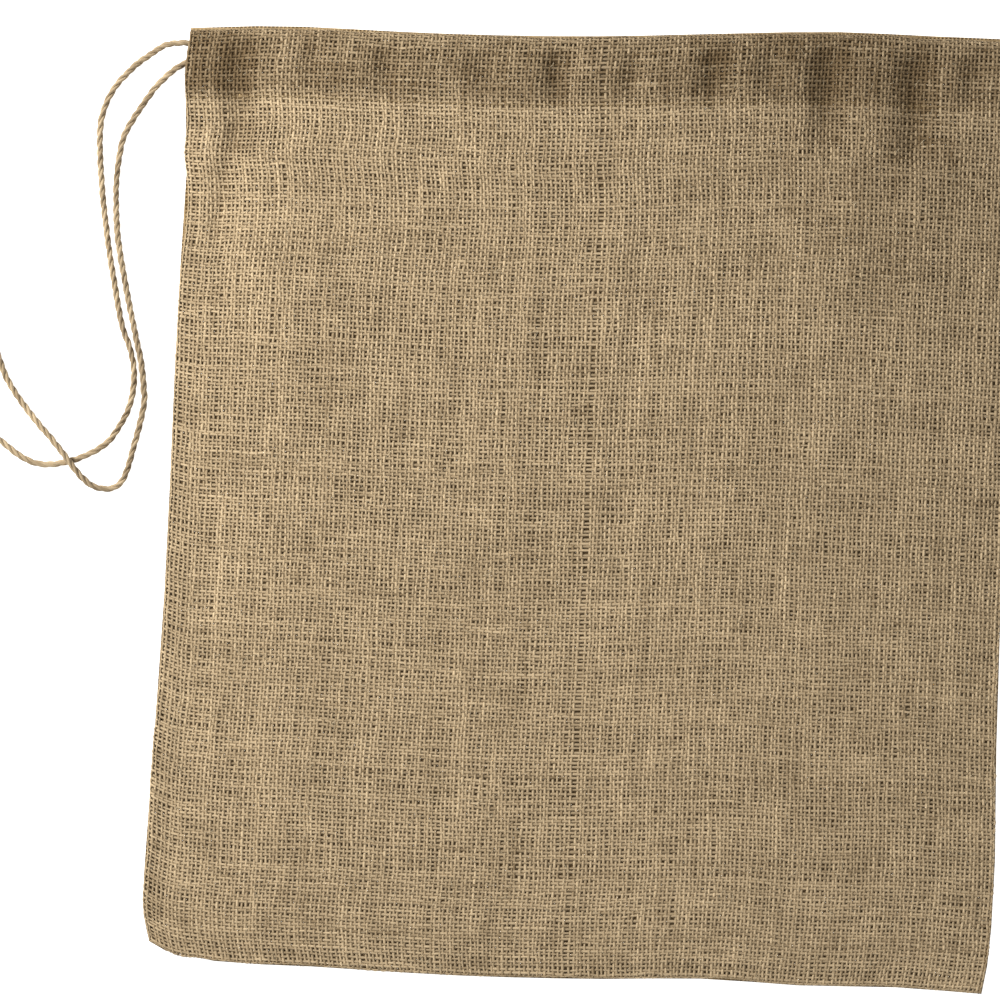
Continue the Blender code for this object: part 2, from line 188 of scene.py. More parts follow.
def twisted_points(line, seed):
    """Plies wound round a line: circles whose centres turn about it, Z-twisted."""
    rng = np.random.default_rng(seed)
    right, above = sides_of(line)
    run = np.linspace(0.0, np.linalg.norm(np.diff(line, axis=0), axis=1).sum(), len(line))

    def vary(values, count):
        size, apart = values
        return size * wander(rng, count, len(line), max(len(line) // apart, 2))

    stray = vary(PLY_UNEVEN, 1)[0]
    ply = np.arange(PLY_COUNT)[:, None]
    phase = stray - 2 * math.pi * (run[None] / PLY_LAY + ply / PLY_COUNT)
    thick = 1 + vary(PLY_SWELL, PLY_COUNT)
    apart = PLY_CENTRE * (1 + vary(PLY_DRIFT, PLY_COUNT))
    middle = line + apart[..., None] * (
        np.cos(phase)[..., None] * right + np.sin(phase)[..., None] * above
    )
    side = 2 * math.pi * np.arange(PLY_SIDES) / PLY_SIDES
    ring = PLY_RADIUS * thick[..., None, None] * (
        np.cos(side)[:, None] * right[None, :, None]
        + np.sin(side)[:, None] * above[None, :, None]
    )
    return middle[:, :, None] + ring, run


def add_node(tree, kind, settings=None, links=None):
    """One node with its settings and its links, each by the name of an input."""
    made = tree.nodes.new(kind)
    for name, value in (settings or {}).items():
        if isinstance(name, int) or name in made.inputs:
            made.inputs[name].default_value = value
        else:
            setattr(made, name, value)
    for name, output in (links or {}).items():
        tree.links.new(output, made.inputs[name])
    return made


def linear(colour):
    """An sRGB hex colour as linear red, green, blue and alpha."""
    parts = [int(colour[k:k + 2], 16) / 255 for k in (1, 3, 5)]
    return [p / 12.92 if p <= 0.04045 else ((p + 0.055) / 1.055) ** 2.4 for p in parts] + [1.0]


def ply_map(thing, rings, run):
    """A UV map in metres: round the ply, then along it, for its fibres."""
    mesh = thing.data
    corners = np.empty(len(mesh.loops), np.int32)
    mesh.loops.foreach_get("vertex_index", corners)
    side = corners % PLY_SIDES
    ring = (corners // PLY_SIDES) % rings
    layer = mesh.uv_layers.new(name="fibres")
    around = side * (2 * math.pi * PLY_RADIUS / PLY_SIDES)
    place = np.stack([around, run[ring]], axis=1) * MM
    layer.data.foreach_set("uv", place.astype(np.float32).ravel())


def cord_material():
    """Twisted jute cord: long straw-coloured fibres, matt with a faint silky sheen.

    Fibre bundles about 0.15 mm wide run along each ply. They are drawn as fine
    streaks of light and dark straw, with slow patches of colour over them.
    """
    material = bpy.data.materials.new("jute_cord_twisted")
    material.use_nodes = True
    tree = material.node_tree
    shader = tree.nodes["Principled BSDF"]
    lie = add_node(tree, "ShaderNodeUVMap", {"uv_map": "fibres"})
    # A fibre bundle 0.15 mm wide and 2 mm long fills one cell of the noise.
    stretch = add_node(
        tree, "ShaderNodeMapping", {"Scale": (7000, 500, 1)}, {"Vector": lie.outputs["UV"]}
    )
    streak = add_node(
        tree, "ShaderNodeTexNoise",
        {"Scale": 1.0, "Detail": 3.0, "Roughness": 0.6},
        {"Vector": stretch.outputs["Vector"]},
    )
    where = add_node(tree, "ShaderNodeTexCoord")
    patch = add_node(
        tree, "ShaderNodeTexNoise", {"Scale": 160.0, "Detail": 3.0},
        {"Vector": where.outputs["Object"]},
    )
    tint = add_node(tree, "ShaderNodeAttribute", {"attribute_name": "tint"})
    both = add_node(
        tree, "ShaderNodeMath", {"operation": "MULTIPLY_ADD", 1: 0.55},
        {0: streak.outputs["Fac"], 2: tint.outputs["Fac"]},
    )
    share = add_node(
        tree, "ShaderNodeMath", {"operation": "MULTIPLY_ADD", 1: 0.8},
        {0: patch.outputs["Fac"], 2: both.outputs["Value"]},
    )
    spread = add_node(
        tree, "ShaderNodeMapRange", {"From Min": 0.35, "From Max": 1.05},
        {"Value": share.outputs["Value"]},
    )
    colour = add_node(
        tree, "ShaderNodeMix",
        {"data_type": "RGBA", 6: linear(STRAW_CORD[0]), 7: linear(STRAW_CORD[1])},
        {0: spread.outputs["Result"]},
    )
    bump = add_node(
        tree, "ShaderNodeBump", {"Strength": 0.6, "Distance": 0.00012},
        {"Height": streak.outputs["Fac"]},
    )
    tree.links.new(colour.outputs[2], shader.inputs["Base Color"])
    tree.links.new(bump.outputs["Normal"], shader.inputs["Normal"])
    shader.inputs["Roughness"].default_value = 0.8
    shader.inputs["Specular IOR Level"].default_value = 0.25
    shader.inputs["Sheen Weight"].default_value = 0.1
    return material


jute_cord = cord_material()


def twisted_cord(name, line, seed):
    """Three plies along a line as one piece, with a tint for each ply and ring."""
    rings, run = twisted_points(line, seed)
    rng = np.random.default_rng(seed + 50)
    size, apart = PLY_TINT
    tint = size * wander(rng, PLY_COUNT, len(line), max(len(line) // apart, 2))
    tint = np.repeat(tint[..., None], PLY_SIDES, axis=2)
    quads, ends = tube_faces(PLY_COUNT, len(line), PLY_SIDES)
    thing = mesh_piece(name, rings, quads, ends, tint=tint)
    ply_map(thing, len(line), run)
    thing.data.materials.append(jute_cord)
    return thing


strands = {}
for strand, route, seed in (("front_strand", FRONT_STRAND, 3), ("back_strand", BACK_STRAND, 4)):
    line = along(route, CORD_STEP)
    piece = twisted_cord(strand, line, seed)
    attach(piece, "root")
    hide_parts("drawstring_" + strand)
    strands[strand] = (piece, line)


# --- Drawstring: knot and tails ------------------------------------------------------
# Both ends of the cord are laid together and tied in one overhand knot. The knot is a
# loose trefoil of the doubled cord, and its two short tails are cut off plainly.

KNOT_MIDDLE = (-322.0, 100.0, 4.4)
KNOT_TURN = math.radians(140.0)
KNOT_SCALE = 2.5
KNOT_BODY = (-3.6, 0.0)   # the trefoil's middle, across and along the cord's way
KNOT_RISE = 1.5           # half the height between strands that cross
KNOT_APART = 1.5          # half the distance between the doubled cords
KNOT_CUT = 0.35           # radians left open at the lobe where the ends come in
KNOT_SEED = 11


def knot_line(aside):
    """Middle of one cord through the knot: in, round a trefoil, and out.

    The trefoil's radius is 2 + cos 3t at the angle 2t, and its height sin 3t. It is
    cut at its outermost lobe, where one end comes in over the other.
    """
    t = np.linspace(KNOT_CUT, 2 * math.pi - KNOT_CUT, 26)
    radius = KNOT_SCALE * (2 + np.cos(3 * t)) + aside
    x = KNOT_BODY[0] + radius * np.cos(2 * t)
    y = KNOT_BODY[1] + radius * np.sin(2 * t)
    loop = np.stack([x, y, KNOT_RISE * np.sin(3 * t)], 1)
    lead = [(aside, -9.4, 0.0), (aside + 1.2, -6.0, 0.6), (aside + 3.2, -2.2, 1.4)]
    out = [(aside + 3.4, 2.4, -1.5), (aside + 1.2, 6.0, -1.4), (aside * 1.6, 9.4, -1.2)]
    local = np.vstack([lead, loop, out])
    ahead = np.array([math.cos(KNOT_TURN), math.sin(KNOT_TURN)])
    right = np.array([ahead[1], -ahead[0]])
    flat = np.array(KNOT_MIDDLE[:2]) + local[:, :1] * right + local[:, 1:2] * ahead
    height = np.clip(KNOT_MIDDLE[2] + local[:, 2], CORD / 2 + 0.1, None)
    return np.column_stack([flat, height])


knot_parts = []
for aside in (-KNOT_APART, KNOT_APART):
    line = along(knot_line(aside), CORD_STEP)
    knot_parts.append(twisted_points(line, KNOT_SEED)[0])
points, quads, ends, first = [], [], [], 0
for part in knot_parts:
    some_quads, some_ends = tube_faces(*part.shape[:3], first)
    points.append(part.reshape(-1, 3))
    quads.append(some_quads)
    ends.extend(some_ends)
    first += len(points[-1])
knot = mesh_piece(
    "overhand_knot", np.vstack(points), np.vstack(quads), ends, tint=np.zeros(first)
)
knot_rings = knot_parts[0].shape[1]
ply_map(knot, knot_rings, np.arange(knot_rings) * CORD_STEP)
knot.data.materials.append(jute_cord)
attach(knot, "root")
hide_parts("drawstring_knot")

TAILS = {
    "front_tail": (
        (-330.2, 104.4, 3.4), (-335.0, 107.0, 2.0), (-341.0, 111.5, 1.6),
        (-346.0, 117.5, 1.6),
    ),
    "back_tail": (
        (-327.8, 107.8, 3.4), (-330.6, 113.0, 2.0), (-333.0, 120.0, 1.6),
        (-333.6, 127.0, 1.6),
    ),
}
tails = []
for seed, (tail, route) in enumerate(TAILS.items(), start=21):
    piece = twisted_cord(tail, along(route, CORD_STEP), seed)
    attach(piece, "root")
    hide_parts("drawstring_" + tail)
    tails.append(piece)

for strand, on_it in (("front_strand", [knot, tails[0]]), ("back_strand", [knot, tails[1]])):
    piece, line = strands[strand]

# The rest of the same cord is hidden in the hems' channels, and keeps its own solid.
hidden_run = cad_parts["drawstring_in_hem"]
hidden_run.data.materials.clear()
hidden_run.data.materials.append(jute_cord)


# --- Front panel: the lie of the cloth ------------------------------------------------
# One cut piece of hessian, folded inside at the mouth as a 34 mm hem round the cord.
# It is sewn to the back panel at both sides and the bottom with the seams turned
# inside, so its edges roll over. The hem is gathered a little, and the body has the
# soft creases of a sack that was folded.

PANEL_WIDTH = 400.0       # as cut, between the side seams
PANEL_HEIGHT = 455.0      # from the bottom seam to the mouth's fold
CLOTH = 1.0               # thickness
HEM_DEPTH = 34.0          # fold to stitch line
FOLD_RADIUS = 0.8
SEAM_Z = 2.3              # outer face at the seams
FRONT_INNER_LOW = 3.4     # middle of the front hem's inner layer, at the sides
FRONT_INNER_HIGH = 10.6   # and over the open middle of the mouth
PUFF = 5.4                # rise of the hem over its cord
PUFF_RISE = 6.0           # depth below the fold at which it is full
PUFF_HOLD = 8.0           # and down to which it stays so
HEM_FADE = 30.0           # the hem's height fades into the body's over this depth
LEFT_RISE = 62.0          # distances over which the body rises from its seams
RIGHT_RISE = 110.0
FOOT_RISE = 48.0
RIGHT_CLOSE = 8.0         # the hem comes down to its layers this near the right edge
CREASE_START = 9.0        # creases fade out this near a seam
ROLL = 1.3                # radius of the rolled edges
STITCH_GROOVE = (0.5, 1.3)       # depth and half width, along the stitch line
SEAM_GROOVE = (4.8, 0.45, 1.3)   # distance from the edge, depth and half width

# Outline: share of the way up or across, then the edge's place.
LEFT_EDGE = (
    (0.000, -208.0), (0.025, -210.5), (0.110, -209.0), (0.200, -207.0),
    (0.285, -203.5), (0.460, -199.0), (0.720, -193.8), (0.845, -190.4),
    (0.860, -191.4), (0.900, -190.0), (0.940, -190.9), (1.000, -187.8),
)
RIGHT_EDGE = (
    (0.000, 191.5), (0.035, 194.7), (0.080, 196.6), (0.290, 199.0),
    (0.520, 202.8), (0.780, 207.1), (1.000, 210.5),
)
BOTTOM_EDGE = (
    (0.000, -207.0), (0.025, -212.6), (0.070, -216.0), (0.190, -219.0),
    (0.380, -223.6), (0.530, -225.1), (0.670, -225.1), (0.790, -228.4),
    (0.890, -229.0), (1.000, -232.3),
)
TOP_EDGE = (
    (0.000, 231.4), (0.110, 232.3), (0.190, 230.9), (0.260, 229.4),
    (0.520, 227.5), (0.610, 228.3), (0.815, 229.0), (0.860, 228.0),
    (1.000, 225.6),
)
# Loft of the body over its seams, by the share of the way up, and openness of the
# mouth, by the share of its width.
LOFT = (
    (0.00, 3.2), (0.25, 4.6), (0.50, 6.6), (0.72, 8.8), (0.90, 9.6), (1.00, 9.6),
)
MOUTH = (
    (0.00, 0.00), (0.06, 0.05), (0.18, 0.42), (0.34, 1.00), (0.66, 1.00),
    (0.80, 0.50), (0.94, 0.05), (1.00, 0.00),
)

# Troughs of the gathered hem: share of the width, depth below the fold of both
# ends, how deep it is and its half width.
GATHERS = (
    (0.067, 9.0, 62.0, 3.0, 8.0),
    (0.153, 9.0, 28.0, 1.9, 6.5),
    (0.242, 9.0, 30.0, 2.5, 7.0),
    (0.357, 9.0, 30.0, 1.6, 9.0),
    (0.446, 9.0, 31.0, 2.8, 7.0),
    (0.535, 9.0, 28.0, 1.8, 5.0),
    (0.634, 9.0, 31.0, 2.8, 8.0),
    (0.699, 9.0, 27.0, 1.4, 6.0),
    (0.770, 10.0, 56.0, 3.0, 9.0),
    (0.877, 10.0, 60.0, 3.2, 10.0),
    (0.943, 10.0, 32.0, 1.8, 7.0),
)

# Creases of the body: both ends' x and y, depth (less than 0 for a ridge) and
# half width.
CREASES = (
    (-166.5, 182.0, -174.5, 132.0, 1.8, 5.0),
    (-182.0, 176.0, -181.0, 140.0, -1.1, 5.0),
    (27.5, 199.0, 3.5, -24.0, -0.8, 8.0),
    (38.0, 196.0, 14.0, -24.0, 0.5, 8.0),
    (-65.0, 196.0, -68.0, 165.0, 1.0, 6.0),
    (-85.0, 172.0, -91.0, 77.0, 0.6, 7.0),
    (-141.0, 129.0, -142.5, 86.0, 0.5, 8.0),
    (-135.0, 45.5, -150.0, 45.0, 0.5, 10.0),
    (132.0, 158.0, 128.0, 115.0, -0.6, 8.0),
    (183.0, 153.0, 181.0, 91.0, 0.8, 12.0),
    (-41.0, -194.0, -43.5, -219.5, 0.7, 5.0),
    (8.0, -182.0, 2.5, -201.0, 0.6, 8.0),
    (-197.0, -139.0, -198.5, -163.0, 0.6, 5.0),
    (-187.0, -91.0, -189.0, -112.5, 0.7, 7.0),
    (-182.0, 12.0, -182.0, -5.0, 0.8, 6.0),
    (-179.5, -21.5, -180.0, -43.0, 0.7, 6.0),
    (-206.0, -194.0, -164.0, -195.0, 0.5, 3.0),
)


def through(rows, shares):
    """Smooth curve through a table's rows: cubic, with the rows' own slopes."""
    table = np.array(rows, float)
    x, y = table[:, 0], table[:, 1]
    slope = np.gradient(y, x)
    shares = np.clip(np.asarray(shares, float), x[0], x[-1])
    i = np.clip(np.searchsorted(x, shares, side="right") - 1, 0, len(x) - 2)
    step = x[i + 1] - x[i]
    t = (shares - x[i]) / step
    start = (1 + 2 * t) * (1 - t) ** 2 * y[i] + t * (1 - t) ** 2 * step * slope[i]
    end = t * t * (3 - 2 * t) * y[i + 1] + t * t * (t - 1) * step * slope[i + 1]
    return start + end


def smooth(low, high, value):
    """0 below low, 1 above high, and an even S between them."""
    t = np.clip((value - low) / (high - low), 0.0, 1.0)
    return t * t * (3 - 2 * t)


def quarter(distance, rise):
    """Quarter sine: 0 at an edge, 1 from the distance rise on."""
    return np.sin(np.clip(distance / rise, 0.0, 1.0) * math.pi / 2)


def gathers(u, depth):
    """Troughs of the hem, summed: bell-shaped across, with soft ends."""
    width = RIGHT_EDGE[-1][1] - LEFT_EDGE[-1][1]
    total = 0.0
    for centre, start, end, deep, reach in GATHERS:
        across = np.exp(-((u - centre) * width / reach) ** 2)
        ends = smooth(start - 5, start + 5, depth) * (1 - smooth(end - 7, end + 7, depth))
        total = total + deep * across * ends
    return total


def creases(x, y):
    """Creases of the body, summed: bell-shaped across short lines, round at ends."""
    total = 0.0
    for x0, y0, x1, y1, deep, reach in CREASES:
        length = math.hypot(x1 - x0, y1 - y0)
        run = ((x - x0) * (x1 - x0) + (y - y0) * (y1 - y0)) / length
        aside = ((x - x0) * (y1 - y0) - (y - y0) * (x1 - x0)) / length
        past = np.maximum(np.maximum(-run, run - length), 0.0) * 0.6
        total = total + deep * np.exp(-(aside ** 2 + past ** 2) / reach ** 2)
    return total


def inner_layer(u):
    """Height of the middle of the hem's inner layer, raised where the mouth is open."""
    lift = np.clip(through(MOUTH, u), 0.0, 1.0)
    return FRONT_INNER_LOW + (FRONT_INNER_HIGH - FRONT_INNER_LOW) * lift


def front_face(x, y, u, v):
    """Height of the front panel's outer face: the hem over its cord, then the body.

    The hem stands on its inner layer, puffs up from the fold and comes back to the
    stitch line. The body rises from its three seams by quarter sines and carries
    the creases, and a groove runs along the seams where their turnings end.
    """
    depth = through(TOP_EDGE, u) - y
    base = inner_layer(u)
    to_left = x - through(LEFT_EDGE, v)
    to_right = through(RIGHT_EDGE, v) - x
    to_foot = y - through(BOTTOM_EDGE, u)
    close = quarter(to_right, RIGHT_CLOSE)
    fall = np.clip((depth - PUFF_HOLD) / (HEM_DEPTH - PUFF_HOLD), 0.0, 1.0)
    eased = (fall + smooth(0.0, 1.0, fall)) / 2
    puff = PUFF * quarter(depth, PUFF_RISE) * (1.0 - eased) * close
    hem = base + 2 * FOLD_RADIUS + CLOTH / 2 + puff - gathers(u, depth) * close
    side = quarter(to_left, LEFT_RISE) * quarter(to_right, RIGHT_RISE)
    foot = quarter(to_foot, FOOT_RISE)
    near = np.minimum(np.minimum(to_left, to_right), to_foot)
    sunk = (creases(x, y) + gathers(u, depth)) * smooth(0.0, CREASE_START, near)
    groove = SEAM_GROOVE[1] * np.exp(-((near - SEAM_GROOVE[0]) / SEAM_GROOVE[2]) ** 2)
    body = SEAM_Z + through(LOFT, v) * side * foot - sunk - groove
    sewn = STITCH_GROOVE[0] * np.exp(-((depth - HEM_DEPTH) / STITCH_GROOVE[1]) ** 2)
    return hem + (body - hem) * smooth(HEM_DEPTH, HEM_DEPTH + HEM_FADE, depth) - sewn


def rolled(run):
    """Distance in from an edge, and drop there, at a run along the rolled cloth.

    The edge is a quarter circle, and a run below 0 is tucked underneath it.
    """
    angle = np.clip(run / ROLL, 0.0, math.pi / 2)
    past = np.maximum(run - ROLL * math.pi / 2, 0.0)
    tucked = np.maximum(-run, 0.0)
    inward = ROLL * (1 - np.cos(angle)) + past + 0.8 * tucked
    return inward, ROLL * (1 - np.sin(angle)) + 0.1 * tucked


# --- Front panel: its threads ----------------------------------------------------------
# Plain-woven hessian of about 13 threads to the inch. Each single jute thread is its
# own tube that goes over one crossing and under the next. Threads bunch, wander and
# swell, as coarse jute yarn does, so the gaps between them are uneven.

WARPS = 206
WEFTS = 243
FOLD_WEFTS = 2            # threads round the mouth's fold
INNER_WEFTS = 6           # and on the first stretch of the hem's inner face
CRIMP = 0.25              # half the height that a thread rises over another
WARP_HALF = 0.78          # half width of a thread
WEFT_HALF = 0.75
THREAD_UP = 0.33          # ridge of a thread above its middle
THREAD_DOWN = 0.14        # its two sides below the middle
THREAD_INSIDE = 0.35      # a thread's middle below the cloth's outer face
SPACING = 0.07            # share by which the distance between threads varies
LONG_WANDER = 0.06        # share of the distance that a thread strays by slowly
SHORT_WANDER = 0.13       # and quickly
INNER_PITCH = 1.9         # between the threads on the hem's inner face
TUCK = 1.0                # how far the outermost threads are tucked under
OWN_SIZE = 0.05           # share by which threads differ in width
SLUBS = (0.07, 0.11)      # share by which a thread swells, slowly and quickly
SIZE_LIMITS = (0.62, 1.5)
OWN_TINT = 0.05           # how far threads differ in tint
TINT_DRIFT = (0.06, 0.08)   # how far a thread's tint drifts, slowly and quickly
# Painted shade in the threads' tint: darker on the hem, more at its left end and less at its
# right, in its gathers and towards the top right.
HEM_PAINTED_SHADE = 0.22           # how much darker the hem is, and more at its left end
HEM_LEFT_PAINTED_SHADE = 0.22
HEM_RIGHT_PAINTED_SHADE = -0.10
GATHER_PAINTED_SHADE = 0.07        # darker for each mm of a gather's depth
CORNER_PAINTED_SHADE = 0.13        # darker towards the top right
JUTE_DARK = "#746044"
JUTE_LIGHT = "#dbc39d"

SET_BACK = FOLD_RADIUS + CLOTH / 2    # of the outer face's last threads from the fold
rng = np.random.default_rng(20)
warp_steps = 1 + SPACING * rng.normal(size=WARPS)
warp_at = np.cumsum(warp_steps) - warp_steps / 2
warp_at = warp_at / warp_steps.sum()
weft_steps = 1 + SPACING * rng.normal(size=WEFTS)
weft_at = np.cumsum(weft_steps) - weft_steps / 2
weft_at = weft_at / weft_steps.sum()


def crossings():
    """Points of the cloth's middle where threads cross: x, y and z over a grid.

    Rows are the warps, with one tucked row past each side. Columns are the wefts,
    with one tucked under the bottom edge. Also gives each point's share of the way
    across, and the fold's place there.
    """
    pitch_u = PANEL_WIDTH / WARPS
    pitch_v = PANEL_HEIGHT / WEFTS
    run_u = np.concatenate([[-TUCK], warp_at * PANEL_WIDTH, [PANEL_WIDTH + TUCK]])
    run_v = np.concatenate([[-TUCK], weft_at * PANEL_HEIGHT])
    rows, columns = len(run_u), len(run_v)
    stray_u = LONG_WANDER * wander(rng, rows, columns, 7)
    stray_u = stray_u + SHORT_WANDER * wander(rng, rows, columns, 60)
    stray_v = LONG_WANDER * wander(rng, columns, rows, 6)
    stray_v = stray_v + SHORT_WANDER * wander(rng, columns, rows, 50)
    run_u = run_u[:, None] + pitch_u * stray_u
    run_v = run_v[None] + pitch_v * stray_v.T
    left_in, left_drop = rolled(run_u)
    right_in, right_drop = rolled(PANEL_WIDTH - run_u)
    foot_in, foot_drop = rolled(run_v)
    at_left = run_u < PANEL_WIDTH / 2
    u = np.where(at_left, left_in / PANEL_WIDTH, 1 - right_in / PANEL_WIDTH)
    v = foot_in / PANEL_HEIGHT
    left, right = through(LEFT_EDGE, v), through(RIGHT_EDGE, v)
    bottom, top = through(BOTTOM_EDGE, u), through(TOP_EDGE, u)
    x = left + (right - left) * u
    y = bottom + (top - SET_BACK - bottom) * v
    drop = np.where(at_left, left_drop, right_drop) + foot_drop
    z = front_face(x, y, u, (y - bottom) / (top - bottom)) - drop
    return x, y, z, u, top


x, y, z, u, top = crossings()
# Round the fold, each column is a step further round half an ellipse, and then down
# the inner layer of the hem.
last_x, last_y, last_z = x[:, -1], y[:, -1], z[:, -1]
inner_low = inner_layer(u[:, -1]) - CLOTH / 2
half = (last_z - inner_low) / 2
for step in range(1, FOLD_WEFTS + 1):
    angle = math.pi * step / (FOLD_WEFTS + 1)
    x = np.column_stack([x, last_x])
    y = np.column_stack([y, last_y + SET_BACK * math.sin(angle)])
    z = np.column_stack([z, inner_low + half + half * math.cos(angle)])
for step in range(INNER_WEFTS):
    x = np.column_stack([x, last_x])
    y = np.column_stack([y, last_y - INNER_PITCH * step - 0.3])
    z = np.column_stack([z, inner_low])
cross_at = np.stack([x, y, z], axis=-1)
to_right = np.gradient(cross_at, axis=0)
to_top = np.gradient(cross_at, axis=1)
out = np.cross(to_right, to_top)
out /= np.linalg.norm(out, axis=-1, keepdims=True)
cross_at -= THREAD_INSIDE * out


def threads(name, points, outward, across_way, half_width, over, tints):
    """Closed three-sided tubes, one for each row of points.

    A ring is a triangle: a ridge outward and two corners to the sides. Rings rise
    and fall along outward by the crimp, over at one crossing and under at the next.
    """
    count, rings = points.shape[:2]
    middle = points + outward * (CRIMP * over)[..., None]
    side = across_way / np.linalg.norm(across_way, axis=-1, keepdims=True)
    width = half_width[..., None] * side
    tall = (half_width / WARP_HALF)[..., None]
    corners = np.stack([
        middle - width - outward * THREAD_DOWN * tall,
        middle + outward * THREAD_UP * tall,
        middle + width - outward * THREAD_DOWN * tall,
    ], axis=2)
    quads, ends = tube_faces(count, rings, 3)
    tint = np.repeat(tints[..., None], 3, axis=2)
    return mesh_piece(name, corners, quads, ends, tint=tint)


def thread_material(name, stretch):
    """Loomstate jute yarn: matt, straw to brown, hairy, with fibres along the thread.

    Each thread's own tint comes with its mesh, and with it the painted shade of the hem,
    its gathers and the top right. Slow patches, 5 to 40 mm across, and fibre streaks
    0.2 mm wide along the thread go over it.
    """
    material = bpy.data.materials.new(name)
    material.use_nodes = True
    tree = material.node_tree
    shader = tree.nodes["Principled BSDF"]
    where = add_node(tree, "ShaderNodeTexCoord")
    squeeze = add_node(
        tree, "ShaderNodeMapping", {"Scale": stretch}, {"Vector": where.outputs["Object"]}
    )
    streak = add_node(
        tree, "ShaderNodeTexNoise", {"Scale": 1.0, "Detail": 2.0, "Roughness": 0.6},
        {"Vector": squeeze.outputs["Vector"]},
    )
    patch = add_node(
        tree, "ShaderNodeTexNoise", {"Scale": 55.0, "Detail": 4.0, "Roughness": 0.65},
        {"Vector": where.outputs["Object"]},
    )
    tint = add_node(tree, "ShaderNodeAttribute", {"attribute_name": "tint"})
    fine = add_node(
        tree, "ShaderNodeMath", {"operation": "MULTIPLY_ADD", 1: 0.35},
        {0: streak.outputs["Fac"], 2: tint.outputs["Fac"]},
    )
    share = add_node(
        tree, "ShaderNodeMath", {"operation": "MULTIPLY_ADD", 1: 0.45},
        {0: patch.outputs["Fac"], 2: fine.outputs["Value"]},
    )
    spread = add_node(
        tree, "ShaderNodeMapRange", {"From Min": -0.1, "From Max": 0.9},
        {"Value": share.outputs["Value"]},
    )
    colour = add_node(
        tree, "ShaderNodeMix",
        {"data_type": "RGBA", 6: linear(JUTE_DARK), 7: linear(JUTE_LIGHT)},
        {0: spread.outputs["Result"]},
    )
    bump = add_node(
        tree, "ShaderNodeBump", {"Strength": 0.5, "Distance": 0.00015},
        {"Height": streak.outputs["Fac"]},
    )
    tree.links.new(colour.outputs[2], shader.inputs["Base Color"])
    tree.links.new(bump.outputs["Normal"], shader.inputs["Normal"])
    shader.inputs["Roughness"].default_value = 0.9
    shader.inputs["Specular IOR Level"].default_value = 0.2
    return material


# Cells of the fibre noise are 0.2 mm across the thread and 1.4 mm along it.
warp_yarn = thread_material("jute_warp_yarn", (4500.0, 700.0, 1500.0))
weft_yarn = thread_material("jute_weft_yarn", (700.0, 4500.0, 1500.0))


def uneven(count, rings, knots):
    """How a set of threads varies: share of the half width, and tint."""
    own = 1 + OWN_SIZE * rng.normal(size=(count, 1))
    slubs = SLUBS[0] * wander(rng, count, rings, knots)
    slubs = slubs + SLUBS[1] * wander(rng, count, rings, 5 * knots)
    thick = np.clip(own + slubs, *SIZE_LIMITS)
    tint = OWN_TINT * rng.normal(size=(count, 1))
    tint = tint + TINT_DRIFT[0] * wander(rng, count, rings, knots)
    tint = tint + TINT_DRIFT[1] * wander(rng, count, rings, rings // 2)
    return thick, tint


def painted_shade(u, depth):
    """Painted shade in the threads' tint: darker on the hem, its gathers and the right top."""
    in_hem = 1 - smooth(HEM_DEPTH - 7, HEM_DEPTH + 4, depth)
    left_end = HEM_LEFT_PAINTED_SHADE * (1 - smooth(0.02, 0.10, u))
    right_end = HEM_RIGHT_PAINTED_SHADE * smooth(0.7, 0.95, u)
    gather_shade = GATHER_PAINTED_SHADE * gathers(u, depth)
    corner = CORNER_PAINTED_SHADE * smooth(0.45, 0.85, u) * (1 - smooth(60.0, 170.0, depth))
    return in_hem * (HEM_PAINTED_SHADE + left_end + right_end) + gather_shade + corner


rows, columns = cross_at.shape[:2]
parity = np.where((np.arange(rows)[:, None] + np.arange(columns)[None]) % 2, 1.0, -1.0)
warp_thick, warp_tint = uneven(rows, columns, 22)
weft_thick, weft_tint = uneven(columns, rows, 20)
# The threads' tint is darkened by painted shade on the hem, its gathers and the top right.
painted_darkening = painted_shade(u[:, -1:], top[:, -1:] - cross_at[..., 1])
warp_tint = warp_tint - painted_darkening
weft_tint = weft_tint - painted_darkening.T
front_threads = []
middle_warp = rows // 2
for name, some in (("front_warps_left", slice(1, middle_warp)),
                   ("front_warps_right", slice(middle_warp, rows - 1))):
    piece = threads(
        name, cross_at[some], out[some], to_right[some],
        WARP_HALF * warp_thick[some], parity[some], warp_tint[some],
    )
    piece.data.materials.append(warp_yarn)
    front_threads.append(piece)
# The wefts are the same grid with rows and columns changed over.
weft_points, weft_out, weft_side = (
    np.transpose(grid, (1, 0, 2)) for grid in (cross_at, out, -to_top)
)
middle_weft = columns // 2
for name, some in (("front_wefts_lower", slice(1, middle_weft)),
                   ("front_wefts_upper", slice(middle_weft, columns))):
    piece = threads(
        name, weft_points[some], weft_out[some], weft_side[some],
        WEFT_HALF * weft_thick[some], -parity.T[some], weft_tint[some],
    )
    piece.data.materials.append(weft_yarn)
    front_threads.append(piece)
for piece in front_threads:
    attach(piece, "root")


# --- Front panel: loose fibres ----------------------------------------------------------
# Jute sheds. Short pale fibres stand and lie all over the cloth, each a thin bent tube
# that starts at a crossing of two threads.

FIBRES = 1500
FIBRE_RINGS = 7
FIBRE_RADIUS = 0.07
FIBRE_LENGTHS = (1.5, 6.5)
FIBRE_BEND = 1.1          # usual change of heading from end to end, in radians
FIBRE_LIFT = 0.55         # of both ends over the threads' middles
FIBRE_ARCH = 0.5          # most that a fibre's middle stands over its ends


def matt_material(name, colour, roughness):
    """A plain matt material of one colour."""
    material = bpy.data.materials.new(name)
    material.use_nodes = True
    shader = material.node_tree.nodes["Principled BSDF"]
    shader.inputs["Base Color"].default_value = linear(colour)
    shader.inputs["Roughness"].default_value = roughness
    return material


